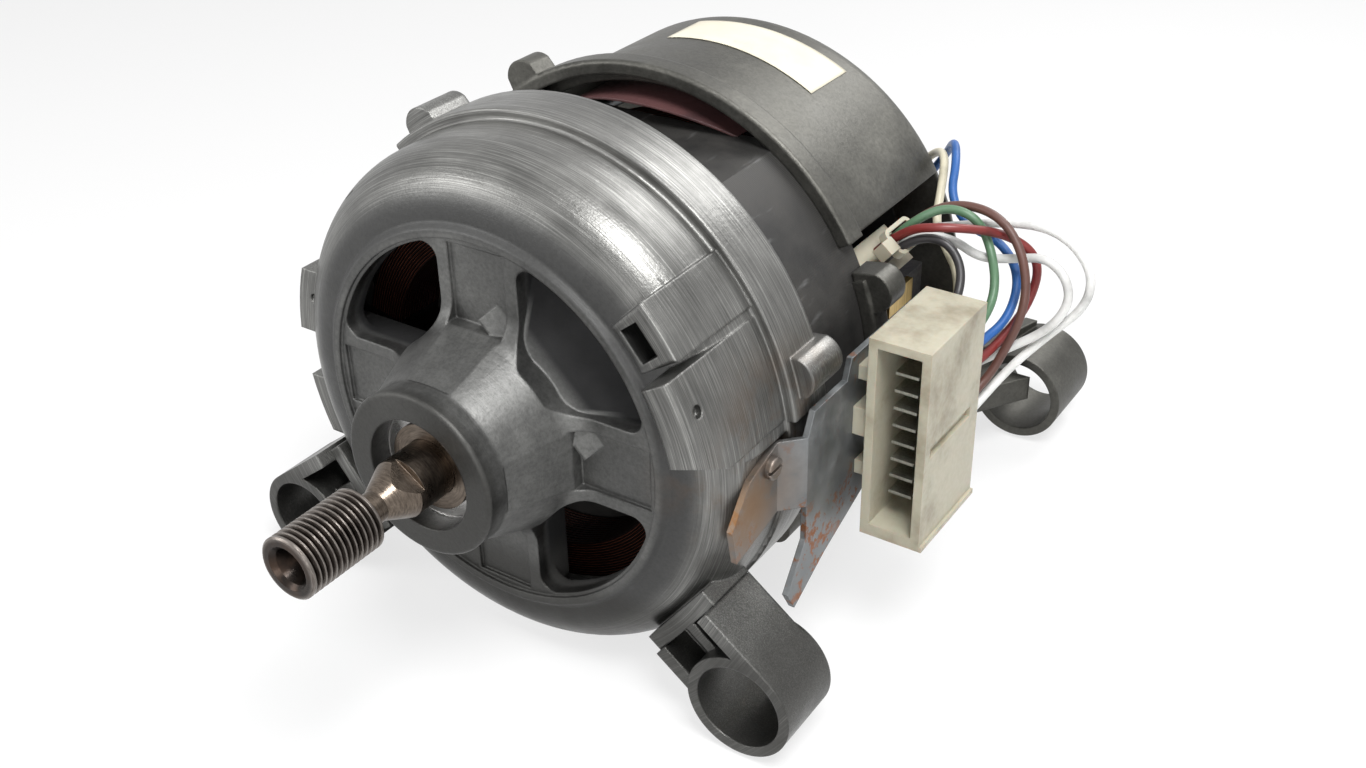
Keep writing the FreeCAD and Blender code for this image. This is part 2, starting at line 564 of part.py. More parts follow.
def bearing(end, outer, start, width, bore):
    """Outer race, inner race and a cage of balls; each race has a groove that the balls run in."""
    middle = start + " + " + width + " / 2"
    track = "(" + outer + " + " + bore + ") / 2"
    inner = bore + " + race_wall"
    groove = part("Torus", end + "_track")
    bind(groove, Radius1=track, Radius2="ball_r + ball_gap")
    place(groove, "0", middle, "0", ALONG_Y)
    outer_ring = ring(end + "_outer_ring", outer + " - fit_gap", outer + " - race_wall", start, width)
    inner_ring = ring(end + "_inner_ring", inner, bore + " + fit_gap", start, width)
    keep(cut(end + "_outer", outer_ring, groove), end + "_bearing_outer_race")
    keep(cut(end + "_inner", inner_ring, groove), end + "_bearing_inner_race")
    balls = []
    for k in range(int(val("ball_count"))):
        x, z = polar(val(track), 360 * k / val("ball_count"))
        balls.append(Part.makeSphere(val("ball_r"), Vector(x, val(middle), z)))
    ball_set = keep(solid(end + "_balls", Part.makeCompound(balls)), end + "_bearing_balls")
    blank = ring(end + "_cage_ring", outer + " - race_wall - ball_gap - 0.3", inner + " + ball_gap + 0.3",
                 middle + " + ball_r * 0.75", "cage_t")
    keep(cut(end + "_cage", blank, ball_set), end + "_bearing_cage")
    shields = []
    for name, y in (("near", start + " + 0.2"), ("far", start + " + " + width + " - 0.2 - shield_t")):
        shields.append(ring(end + "_shield_" + name, outer + " - race_wall - fit_gap", inner + " + 0.3", y, "shield_t"))
    keep(fuse(end + "_shield_pair", *shields), end + "_bearing_shields")


# Stator

def stator():
    start, length, stack = val("stack_y"), val("stack_len"), val("stack_r")
    flat = val("stack_flat")
    body = Part.makeCylinder(stack, length, Vector(0, start, 0), Vector(0, 1, 0))
    body = body.common(box(-80, 80, start, start + length, -flat, flat))
    body = body.cut(Part.makeCylinder(val("stator_bore"), length + 2, Vector(0, start - 1, 0), Vector(0, 1, 0)))
    half, gap = val("slot_half_angle"), val("gap_half_angle")
    for middle in (0, 180):
        body = body.cut(sector(val("slot_out"), val("slot_in"), middle - half, middle + half, start - 1, length + 2))
        body = body.cut(sector(val("slot_in") + 1, val("stator_bore") - 1, middle - gap, middle + gap, start - 1, length + 2))
    for x, z in screw_places():
        body = body.cut(Part.makeCylinder(val("tie_screw_r") + 0.2, length + 2, Vector(x, start - 1, z), Vector(0, 1, 0)))
    keep(solid("stack", body.removeSplitter()), "stator_stack")
    end = start + length
    head, low = val("coil_head"), val("coil_low_angle")
    inner, outer = val("coil_in"), val("coil_out")
    for name, turn in (("upper", 0), ("lower", 180)):
        sides = [sector(outer, inner, low, half - 1, start - 1, length + 2),
                 sector(outer, inner, 181 - half, 180 - low, start - 1, length + 2)]
        heads = []
        for y in (start - head - 0.3, end + 0.3):
            bow = sector(outer, inner, low, 180 - low, y, head)
            heads.append(bow)
        coil = sides[0].fuse([sides[1]] + heads).removeSplitter()
        keep(solid(name + "_coil", about_shaft(coil, turn)), name + "_field_coil")
        sheet_r, thick = val("sheet_r"), val("sheet_t")
        arch = sector(sheet_r, sheet_r - thick, 20, 160, val("sheet_start"), val("sheet_end - sheet_start"))
        arch = arch.cut(box(-80, 80, 0, 300, 0, flat + 0.02))
        nose = Part.makeCylinder(60, 60, Vector(0, val("sheet_start") + 60, 30), Vector(0, 0, 1))
        arch = arch.common(nose.fuse(box(-80, 80, val("sheet_start") + 25, 300, 30, 90)))
        keep(solid(name + "_sheet", about_shaft(arch, turn)), name + "_coil_insulation")


def screw_places():
    return [polar(val("tie_r"), angle) for angle in screw_angles()]


# Armature

def armature():
    start, length = val("stack_y"), val("stack_len")
    shaft = val("body_r") + val("fit_gap")
    core = Part.makeCylinder(val("core_r"), length, Vector(0, start, 0), Vector(0, 1, 0))
    core = core.cut(Part.makeCylinder(shaft, length + 2, Vector(0, start - 1, 0), Vector(0, 1, 0)))
    count = int(val("core_slots"))
    slots, coils = [], []
    half, deep = val("slot_w") / 2, val("slot_d")
    for k in range(count):
        slots.append(about_shaft(box(val("core_r") - deep, val("core_r") + 1, start - 1, start + length + 1, -half, half),
                                 360 * k / count))
    core = core.cut(slots)
    keep(solid("core", core), "armature_core")
    heads = []
    for y in (start - val("wind_head") - 0.05, start + length + 0.05):
        head = Part.makeCylinder(val("wind_r"), val("wind_head"), Vector(0, y, 0), Vector(0, 1, 0))
        head = head.makeFillet(5, [e for e in head.Edges if abs(e.Length - 2 * math.pi * val("wind_r")) < 0.1])
        heads.append(head.cut(Part.makeCylinder(shaft, 60, Vector(0, y - 20, 0), Vector(0, 1, 0))))
    keep(solid("winding", Part.makeCompound(heads)), "armature_winding")
    y0, span = val("comm_y"), val("comm_len")
    keep(ring("comm_hub", "comm_hub_r", "body_r + fit_gap", "comm_y - 1", "comm_len + 1.5"), "commutator_hub")
    bars = int(val("comm_bars"))
    gap_angle = math.degrees(val("bar_gap") / val("comm_r"))
    pieces = []
    for k in range(bars):
        low = 360 * k / bars
        pieces.append(sector(val("comm_r"), val("comm_hub_r") + val("fit_gap"), low, low + 360 / bars - gap_angle, y0, span))
    keep(solid("bars", Part.makeCompound(pieces)), "commutator_bars")


# Brush gear

def brush_gear(side, word):
    """Carbon brush in its brass guide, with the moulded holder round it and the spring under a brass cap."""
    def bar(name, low, length, wide, high, y="brush_y"):
        """Bar along X on one side of the shaft; wide is along Y and high along Z."""
        x = low if side > 0 else "-1 * (" + low + ") - (" + length + ")"
        return block(name + "_" + word, x, y + " - (" + wide + ") / 2", "-1 * (" + high + ") / 2", length, wide, high)

    near = "comm_r + brush_gap"
    arc = rod("brush_arc_" + word, near, "brush_y - 50", "100")
    keep(cut("brush_" + word, bar("brush_bar", near + " - 1", "brush_len + 1", "brush_w", "brush_t"), arc),
         "carbon_brush_" + word)
    inside = bar("guide_inside", "0", "90", "brush_w + 2 * guide_clear", "brush_t + 2 * guide_clear")
    grown = " + 2 * guide_clear + 2 * guide_t"
    outside = bar("guide_outside", "guide_in", "guide_end - guide_in", "brush_w" + grown, "brush_t" + grown)
    keep(cut("guide_" + word, outside, inside), "brush_guide_" + word)
    slot = bar("holder_slot", "0", "90", "brush_w" + grown + " + 2 * fit_gap", "brush_t" + grown + " + 2 * fit_gap")
    blank = bar("holder_blank", "holder_in", "guide_end - holder_in", "holder_len", "holder_t",
                "rear_end - end_t - clearance - holder_len / 2")
    keep(cut("holder_" + word, blank, slot), "brush_holder_" + word)
    keep(bar("cap", "guide_end + fit_gap", "cap_t", "holder_w - 4", "holder_t"), "brush_cap_" + word)
    start = val(near + " + brush_len") + 0.1
    spring = spring_coil(start, val("guide_end") - start, val("brush_y"))
    keep(solid("spring_" + word, spring if side > 0 else mirrored(spring)), "brush_spring_" + word)


def spring_coil(start, length, y):
    """Compression spring along X."""
    turns, radius, wire = val("spring_turns"), val("spring_r"), val("spring_wire")
    pitch = (length - wire) / turns
    helix = Part.makeHelix(pitch, pitch * turns, radius)
    half = wire / 2
    spots = [Vector(radius + a * half, 0, b * half) for a, b in ((-1, -1), (1, -1), (1, 1), (-1, 1), (-1, -1))]
    coil = helix.makePipeShell([Part.makePolygon(spots)], True, True)
    coil.Placement = Placement(Vector(start + half, y, 0), ALONG_X)
    return coil


# Tachometer

def tachometer():
    axis = Vector(0, 1, 0)
    keep(ring("magnet", "magnet_r", "stub_r + fit_gap", "magnet_y", "magnet_len"), "tacho_magnet")
    keep(ring("tacho_winding", "tacho_out", "tacho_in", "magnet_y + 0.6", "magnet_len"), "tacho_coil")
    base = val("rear_hub_end + fit_gap")
    end, wall = val("tacho_cap_end"), val("tacho_wall")
    cup = Part.makeCylinder(val("rear_hub_r"), end - base, Vector(0, base, 0), axis)
    cup = cup.makeFillet(1.5, [e for e in cup.Edges if abs(e.CenterOfMass.y - end) < 0.01])
    cup = cup.fuse(box(12, val("rear_hub_r"), base, end - wall, 1, 17))
    cup = cup.cut(Part.makeCylinder(val("tacho_out") + val("fit_gap"), end - wall - base + 1, Vector(0, base - 1, 0), axis))
    keep(solid("tacho_cup", cup.removeSplitter()), "tacho_cap")


# Screws

def screws():
    shanks = []
    for x, z in screw_places():
        start, end = val("stack_y") - val("boss_len") + 5, val("rear_end")
        head = Part.makeCylinder(val("tie_head_r"), val("tie_head_h"), Vector(x, end + 0.02, z), Vector(0, 1, 0))
        shank = Part.makeCylinder(val("tie_screw_r"), end + 0.02 - start, Vector(x, start, z), Vector(0, 1, 0))
        shanks.append(head.fuse(shank).removeSplitter())
    return solid("long_screws", Part.makeCompound(shanks))


# Connector

def connector():
    """Socket housing open towards the pulley end, its latch groove and lip, and the feet that hold its bracket."""
    shell = block("housing_shell", "conn_x", "conn_y", "conn_low", "conn_w", "conn_len", "conn_high - conn_low")
    socket = block("housing_socket", "conn_x + conn_wall", "conn_y - 1", "conn_low + conn_wall + 1",
                   "conn_w - 2 * conn_wall", "socket_depth + 1", "conn_high - conn_low - 2 * conn_wall - 1")
    groove = block("housing_groove", "conn_x + conn_w - groove_d", "conn_y + 3", "-6", "groove_d + 1", "conn_len - 8", "3")
    hollow = fuse("housing_hollows", socket, groove)
    lip = block("housing_lip", "conn_x", "conn_y", "conn_low", "conn_w + lip_d", "conn_len", "1.4")
    gap_x, reach = "plate_x + plate_t + 0.02", "conn_x - plate_x - plate_t - 0.02"
    stem = block("housing_stem", gap_x, "conn_y + 2", "-1 * clip_h / 2 - 1", reach, "12", "clip_h")
    feet = [block("housing_foot_" + name, gap_x, "conn_y + 4", z, reach, "8", "4") for name, z in (("top", "10"), ("base", "-18"))]
    keep(fuse("housing", cut("housing_body", shell, hollow), lip, stem, *feet), "connector_housing")
    blades = []
    for k in range(int(val("blade_count"))):
        z = "(conn_low + conn_high + 1) / 2 + (%d - (blade_count - 1) / 2) * blade_pitch - blade_t / 2" % k
        blades.append(block("blade_%d" % k, "conn_x + conn_w / 2 - blade_w / 2", "conn_y + blade_in", z, "blade_w",
                            "socket_depth - blade_in", "blade_t"))
    keep(fuse("blades", *blades), "connector_terminals")


def connector_bracket():
    """Pressed sheet: a foot screwed to the casting, a joggle over the flange and the plate behind the connector."""
    corners = [("86", "6"), ("89", "12"), ("105", "12"), ("107", "17.5"), ("142", "17.5"), ("142", "6"), ("121", "2"),
               ("121", "-24"), ("96", "-34"), ("81", "-42"), ("77.5", "-36"), ("86", "-24")]
    back = plate("bracket_plate", corners, "YZ_Plane", "plate_x", "plate_t")
    bed = "flange_y - 4"
    corners = [(bed, "6"), ("foot_y + 8", "2"), ("foot_y", "-8"), ("foot_y + 2", "-18"), (bed, "-14")]
    foot = plate("bracket_foot", corners, "YZ_Plane", "foot_x + 0.02", "plate_t")
    low, high = "foot_x + 0.02", "plate_x"
    corners = [(low, bed), (low + " + plate_t", bed), (high + " + plate_t", "flange_y + 1.5"), (high, "flange_y + 1.5")]
    joggle = plate("bracket_joggle", corners, "XY_Plane", "-14", "20")
    spot = Vector(val("foot_x + plate_t") + 0.04, val("foot_screw_y"), val("foot_screw_z"))
    hole = place(bind(part("Cylinder", "foot_hole"), Radius="foot_screw_r + fit_gap", Height="8"),
                 "foot_x - 2", "foot_screw_y", "foot_screw_z", ALONG_X)
    keep(cut("drilled_bracket", fuse("bracket_blank", back, foot, joggle), hole), "connector_bracket")
    head = Part.makeCylinder(val("foot_head_r"), 1.8, spot, Vector(1, 0, 0))
    head = head.makeFillet(0.6, [e for e in head.Edges if abs(e.CenterOfMass.x - spot.x - 1.8) < 0.01])
    head = head.cut(box(spot.x + 1.0, spot.x + 3, spot.y - 4, spot.y + 4, spot.z - 0.5, spot.z + 0.5))
    shank = Part.makeCylinder(val("foot_screw_r"), 7, spot - Vector(6.9, 0, 0), Vector(1, 0, 0))
    keep(solid("foot_screw", head.fuse(shank).removeSplitter()), "bracket_screw")


# Leads

OUTLET = Vector(59.6, 155, 22.6)
OUTWARD = Vector(0.64, 0, 0.768)
ACROSS = Vector(-0.768, 0, 0.64)

ROUTES = {
    "lead_dark": [(60.75, 151.5, 21.64), (66.8, 151.5, 28.9), (75.6, 154.5, 30.8), (82.5, 153, 25),
                  (84.5, 146.2, 17), (84.5, 138, 17)],
    "lead_green": [(58.45, 155.2, 23.56), (65.2, 155.2, 31.7), (72.5, 161.4, 36.2), (81.5, 162, 35),
                   (86, 163, 26.5), (92.5, 152.5, 20), (91, 147, 12), (91, 138, 12)],
    "lead_brown": [(58.45, 158.9, 23.56), (65.2, 158.9, 31.7), (73.5, 165.5, 36), (87, 163.5, 36.5),
                   (96, 160, 29), (100, 155.5, 16.5), (94.5, 152, -1.5), (91, 145.5, -8), (91, 138, -8)],
    "lead_red": [(58.45, 151.5, 23.56), (65.2, 151.5, 31.7), (78, 151.5, 35.5), (89, 165, 31),
                 (98, 168, 24.5), (96.5, 167, 11), (93, 153.5, 3.5), (91, 144, 2), (91, 138, 2)],
    "lead_white_upper": [(60.75, 158.9, 21.64), (67.2, 158.9, 29.4), (76, 165, 30), (87, 169, 32),
                         (98, 169.5, 33), (107, 167, 31), (113, 166, 24), (112, 165, 15), (104, 163, 6),
                         (96, 157, -4), (91, 147, -13), (91, 138, -13)],
    "lead_white_lower": [(60.75, 155.2, 21.64), (67.2, 155.2, 29.4), (77, 157.5, 29.6), (83, 163, 22.8),
                         (92.5, 164, 24.8), (100.5, 163.5, 27.5), (107, 162.5, 24), (109, 162, 17), (105, 160, 9),
                         (94, 157, 1), (86, 149, -3.5), (84.5, 143, -3), (84.5, 138, -3)],
    "lead_blue": [(21, 208, 6), (32, 208, 6), (45, 204, 19), (55.5, 198.5, 33.5), (62, 189.5, 43),
                  (66.5, 181, 40), (69, 173, 34), (75.5, 169.5, 28), (85, 171.5, 25), (93, 167, 19),
                  (95, 157, 11), (91, 147, 7), (91, 138, 7)],
    "lead_cream": [(21, 208, 12), (32, 208, 12), (43.5, 203.5, 24), (53.5, 196, 35.5), (61, 186, 39.5),
                   (64.5, 177, 34), (66.5, 169.5, 26.5), (72.5, 164.5, 22.5), (79, 159, 19),
                   (84.5, 147, 12), (84.5, 138, 12)],
}


def tube(points, radius):
    """Round cord along straight runs joined by tangent arcs, with its length and its radii."""
    spots = [Vector(*p) for p in points]
    edges, radii, start = [], [], spots[0]
    length = 0.0
    for before, here, after in zip(spots, spots[1:], spots[2:]):
        back, ahead = (before - here), (after - here)
        turn = math.pi - back.getAngle(ahead)
        shorter = min(back.Length, ahead.Length)
        step = 0.45 * shorter
        bend = step / math.tan(turn / 2)
        first = here + back.normalize() * step
        last = here + ahead.normalize() * step
        centre_way = (back + ahead).normalize()
        centre = here + centre_way * math.hypot(step, bend)
        middle = centre - centre_way * bend
        edges.append(Part.LineSegment(start, first).toShape())
        edges.append(Part.Arc(first, middle, last).toShape())
        length += start.distanceToPoint(first) + bend * turn
        radii.append(bend)
        start = last
    edges.append(Part.LineSegment(start, spots[-1]).toShape())
    length += start.distanceToPoint(spots[-1])
    path = Part.Wire(edges)
    way = (spots[1] - spots[0]).normalize()
    ring_wire = Part.Wire([Part.makeCircle(radius, spots[0], way)])
    return path.makePipeShell([ring_wire], True, False), length, radii


def leads():
    radius = val("lead_r")
    for name, points in ROUTES.items():
        shape, length, radii = tube(points, radius)
        if shape.Volume < 0:
            shape.reverse()
        share = shape.Volume / (math.pi * radius ** 2 * length)
        print(name, "length %.0f" % length, "volume share %.4f" % share, "radii", [round(r, 1) for r in radii])
        keep(solid(name + "_cord", shape), name)


def outlet_block():
    """Moulded terminal block standing on the stator's rear end; its sloping face is the leads' outlet."""
    thick, high = val("block_t"), val("block_h")
    foot = val("stack_end") + 0.05
    end = OUTLET.y + val("block_len") / 2
    brick = Part.makeBox(high, end - foot, thick, Vector(-high / 2, foot - OUTLET.y, -thick))
    turn = Rotation(ACROSS * -1, Vector(0, 1, 0), OUTWARD, "ZXY")
    brick.Placement = Placement(OUTLET, turn)
    rim_end = val("rim_y + rim_w") + val("fit_gap")
    return brick.cut(sector(90, val("rear_r - rear_wall") - 0.3, 0, 90, rim_end - 20, 20))


def cable_tie():
    """Flat strap closed round the bundle just outside the outlet."""
    wide, high = val("strap_w"), val("strap_h")
    thick, width = val("tie_t"), val("tie_w")
    inner = Part.makeBox(high, wide, width + 2, Vector(-high / 2, -wide / 2, -1))
    outer = Part.makeBox(high + 2 * thick, wide + 2 * thick, width, Vector(-high / 2 - thick, -wide / 2 - thick, 0))
    outer = outer.makeFillet(2.2, [e for e in outer.Edges if abs(e.tangentAt(e.FirstParameter).z) > 0.99])
    inner = inner.makeFillet(1.2, [e for e in inner.Edges if abs(e.tangentAt(e.FirstParameter).z) > 0.99])
    head = Part.makeBox(4, 5, width + 1.6, Vector(-2, -wide / 2 - thick - 4.4, -0.8))
    strap = outer.fuse(head).cut(inner).removeSplitter()
    strap.Placement = Placement(OUTLET + OUTWARD * 5, Rotation(ACROSS * -1, Vector(0, 1, 0), OUTWARD, "ZXY"))
    return strap


keep(drive_end_bracket(), "drive_end_bracket")
keep(commutator_end_bracket(), "commutator_end_bracket")
for way, word in ((1, "right"), (-1, "left")):
    keep(solid("front_lug_" + word + "_body", front_lug(way)), "front_lug_" + word)
    keep(solid("rear_lug_" + word + "_body", rear_lug(way)), "rear_lug_" + word)
    brush_gear(way, word)
keep(armature_shaft(), "armature_shaft")
bearing("front", "front_race_r", "hub_y + hub_lip", "front_race_w", "shaft_r")
bearing("rear", "rear_race_r", "rear_hub_end - rear_race_w", "rear_race_w", "tail_r")
keep(ring("seal_ring", "ring_r", "shaft_r + fit_gap", "hub_y + hub_lip - ring_t - 0.3", "ring_t"), "shaft_collar_ring")
keep(ring("spring_washer", "rear_race_r - 0.3", "rear_race_r - 2.5", "rear_hub_end - rear_race_w - 0.8", "washer_t"),
     "bearing_washer")
stator()
armature()
tachometer()
keep(screws(), "tie_screws")
connector()
connector_bracket()
keep(solid("outlet_brick", outlet_block()), "coil_terminal_block")
keep(solid("strap", cable_tie()), "cable_tie")
leads()

doc.recompute()
for obj in doc.Objects:
    if "Invalid" in obj.State or "Error" in obj.State:
        raise RuntimeError("not built: " + obj.Name)
for obj in nodes:
    if obj.Shape.isNull() or not obj.Shape.isValid():
        raise RuntimeError("bad shape: " + obj.Label)
os.makedirs("parts", exist_ok=True)
for obj in nodes:
    obj.Shape.exportStep("parts/" + obj.Label + ".step")
print(len(nodes), "pieces")
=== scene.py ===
import json

import bpy
import numpy as np
from mathutils import Matrix, Vector


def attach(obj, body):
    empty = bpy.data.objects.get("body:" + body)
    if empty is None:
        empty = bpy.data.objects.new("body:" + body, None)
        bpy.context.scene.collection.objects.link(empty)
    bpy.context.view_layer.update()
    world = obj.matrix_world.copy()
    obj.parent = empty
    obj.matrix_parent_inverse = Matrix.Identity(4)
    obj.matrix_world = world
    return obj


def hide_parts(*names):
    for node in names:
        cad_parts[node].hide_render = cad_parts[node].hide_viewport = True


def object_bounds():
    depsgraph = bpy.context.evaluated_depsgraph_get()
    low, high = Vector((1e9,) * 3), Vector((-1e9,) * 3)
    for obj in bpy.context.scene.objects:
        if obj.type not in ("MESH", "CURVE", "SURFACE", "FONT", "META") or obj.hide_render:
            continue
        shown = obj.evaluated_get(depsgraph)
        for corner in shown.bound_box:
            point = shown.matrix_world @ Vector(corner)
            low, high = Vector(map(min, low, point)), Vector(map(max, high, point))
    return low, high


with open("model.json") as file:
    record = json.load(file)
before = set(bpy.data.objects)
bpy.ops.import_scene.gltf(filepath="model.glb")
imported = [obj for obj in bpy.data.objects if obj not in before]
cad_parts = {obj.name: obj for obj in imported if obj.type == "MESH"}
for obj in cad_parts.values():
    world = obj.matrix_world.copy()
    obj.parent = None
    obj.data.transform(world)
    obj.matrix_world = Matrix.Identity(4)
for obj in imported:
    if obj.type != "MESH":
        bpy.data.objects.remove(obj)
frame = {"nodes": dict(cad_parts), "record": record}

# Washing machine motor. The shaft lies along Y with its belt pulley towards -Y, Z is up and the connector is
# on the +X side, as in the CAD. Lengths are written in millimetres, and MM turns them into metres.

MM = 0.001
CAD_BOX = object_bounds()

# Camera: its place, and the directions to its right, upwards and back

CAMERA_PLACE = (221.7, -182.7, 205.8)
CAMERA_RIGHT = (0.8337, 0.5518, -0.0190)
CAMERA_UP = (-0.2718, 0.4400, 0.8559)
CAMERA_BACK = (0.4807, -0.7084, 0.5168)
CAMERA_LENS = 40.44
CAMERA_SENSOR = 36.0
CAMERA_NEAREST = 10.0

# Floor and studio. Each lamp has its place, its width and its power in watts.

FLOOR_DROP = 0.2
FLOOR_REACH = 3000.0
FLOOR_GLOW = 0.72
SKY_ON_THE_OBJECT = 0.25
SKY_TO_THE_EYE = 1.0
WHITE = (1.0, 1.0, 1.0)
LAMP_AIM = (0, 100, 0)
LAMPS = {
    "key_lamp": ((300, -100, 620), 340, 6.0),
    "side_lamp": ((-550, -450, 350), 450, 2.6),
    "back_lamp": ((150, 650, 550), 400, 3.0),
    "front_lamp": ((450, -600, 200), 350, 1.6),
}

# Label on the arch of the rear casting. Its angles are in degrees round the shaft, from +X towards Z.

ARCH_RADIUS = 68.2
LABEL_LIFT = 0.12
LABEL_THICKNESS = 0.12
LABEL_FIRST_ANGLE = 103.0
LABEL_ANGLE = 41.5
LABEL_FRONT = 162.6
LABEL_SLANT = 2.6
LABEL_WIDTH = 16.6
LABEL_FLARE = 3.0
LABEL_ROWS, LABEL_COLUMNS = 41, 17

# Leads: width, fineness of the tube round it and along it, and for each one its real length, the colour of
# its sheath and its route's points

LEAD_WIDTH = 2.4
LEAD_FACETS = 5
LEAD_STEPS = 16
LEADS = {
    "lead_dark": (45, (0.03, 0.028, 0.03), [
        (60.75, 151.5, 21.64), (66.8, 151.5, 28.9), (75.6, 154.5, 30.8), (82.5, 153, 25), (84.5, 146.2, 17),
        (84.5, 138, 17)]),
    "lead_green": (69, (0.085, 0.17, 0.095), [
        (58.45, 155.2, 23.56), (65.2, 155.2, 31.7), (72.5, 161.4, 36.2), (81.5, 162, 35), (86, 163, 26.5),
        (92.5, 152.5, 20), (91, 147, 12), (91, 138, 12)]),
    "lead_brown": (95, (0.10, 0.045, 0.035), [
        (58.45, 158.9, 23.56), (65.2, 158.9, 31.7), (73.5, 165.5, 36), (87, 163.5, 36.5), (96, 160, 29),
        (100, 155.5, 16.5), (94.5, 152, -1.5), (91, 145.5, -8), (91, 138, -8)]),
    "lead_red": (95, (0.17, 0.02, 0.018), [
        (58.45, 151.5, 23.56), (65.2, 151.5, 31.7), (78, 151.5, 35.5), (89, 165, 31), (98, 168, 24.5),
        (96.5, 167, 11), (93, 153.5, 3.5), (91, 144, 2), (91, 138, 2)]),
    "lead_white_upper": (119, (0.66, 0.66, 0.645), [
        (60.75, 158.9, 21.64), (67.2, 158.9, 29.4), (76, 165, 30), (87, 169, 32), (98, 169.5, 33),
        (107, 167, 31), (113, 166, 24), (112, 165, 15), (104, 163, 6), (96, 157, -4), (91, 147, -13),
        (91, 138, -13)]),
    "lead_white_lower": (106, (0.64, 0.64, 0.625), [
        (60.75, 155.2, 21.64), (67.2, 155.2, 29.4), (77, 157.5, 29.6), (83, 163, 22.8), (92.5, 164, 24.8),
        (100.5, 163.5, 27.5), (107, 162.5, 24), (109, 162, 17), (105, 160, 9), (94, 157, 1),
        (86, 149, -3.5), (84.5, 143, -3), (84.5, 138, -3)]),
    "lead_blue": (144, (0.018, 0.095, 0.31), [
        (21, 208, 6), (32, 208, 6), (45, 204, 19), (55.5, 198.5, 33.5), (62, 189.5, 43), (66.5, 181, 40),
        (69, 173, 34), (75.5, 169.5, 28), (85, 171.5, 25), (93, 167, 19), (95, 157, 11), (91, 147, 7),
        (91, 138, 7)]),
    "lead_cream": (120, (0.58, 0.54, 0.41), [
        (21, 208, 12), (32, 208, 12), (43.5, 203.5, 24), (53.5, 196, 35.5), (61, 186, 39.5),
        (64.5, 177, 34), (66.5, 169.5, 26.5), (72.5, 164.5, 22.5), (79, 159, 19), (84.5, 147, 12),
        (84.5, 138, 12)]),
}

# Places where a finish changes: where the change starts and where it is full, measured from the shaft's axis
# (radius), along the shaft (y) or above it (z). In the corner between +X and Z it goes by x plus z and by the
# smaller of the two (side).

TURNED_RADIUS = (58, 64)
TURNED_Y = (104, 98)
# Where painted shade darkens the windows of the face and the corner between +X and Z
WINDOW_RADIUS = (51.5, 50)
POCKET_Y = (60, 63.5)
CORNER_X_PLUS_Z = (38, 44)
CORNER_SIDE = (12.3, 13.2)
CORNER_Y = (58.3, 59.3)
# Where a ring of painted shade lies round the face
BAND_INNER_RADIUS = (51, 53)
BAND_OUTER_RADIUS = (63, 57)
BAND_Y = (72, 66)
# Where the castings are darker: on the hub's face and towards the bottom, less behind the drive end
HUB_FACE_Y = (36, 31.5)
LUG_Z = (-34, -44)
DRIVE_END_Y = (90, 80)
REAR_CASTING_Y = (118, 126)
RIB_CREST_RADIUS = (6.6, 8)
PULLEY_END_Y = (12, 11)
# Where painted shade darkens the front of the windings, inside the drive end's bracket
COIL_FRONT_Y = (110, 90)

# Rusty places: the centre and how far the rust reaches

BED_RUST = ((70, 80, 2), 36)
FOOT_RUST = ((70, 68, -6), 24)

# Bright metals: colour and roughness

METALS = {
    "bearing_steel": ((0.56, 0.55, 0.54), 0.3),
    "brass": ((0.66, 0.48, 0.20), 0.36),
    "spring_steel": ((0.50, 0.50, 0.51), 0.3),
    "terminal": ((0.46, 0.46, 0.40), 0.38),
}

# Mouldings: colour, colour where stained, roughness, height of the grain, and how far light goes into it

MOULDINGS = {
    "insulation": ((0.105, 0.048, 0.048), (0.035, 0.022, 0.024), 0.38, 0.1, 0.0),
    "moulding": ((0.025, 0.025, 0.027), (0.05, 0.045, 0.04), 0.5, 0.1, 0.0),
    "carbon": ((0.03, 0.03, 0.031), (0.06, 0.06, 0.06), 0.6, 0.15, 0.0),
    "magnet": ((0.04, 0.04, 0.042), (0.07, 0.06, 0.05), 0.5, 0.1, 0.0),
    "nylon": ((0.40, 0.375, 0.29), (0.22, 0.19, 0.13), 0.42, 0.08, 0.15),
}
GLOW_DEPTH = 2.0

# Places of the Mix node's sockets for colours, and samples for a rounded edge

MIX_SHARE, MIX_FIRST, MIX_SECOND, MIX_COLOUR = 0, 6, 7, 2
EDGE_SAMPLES = 6


# Node calls

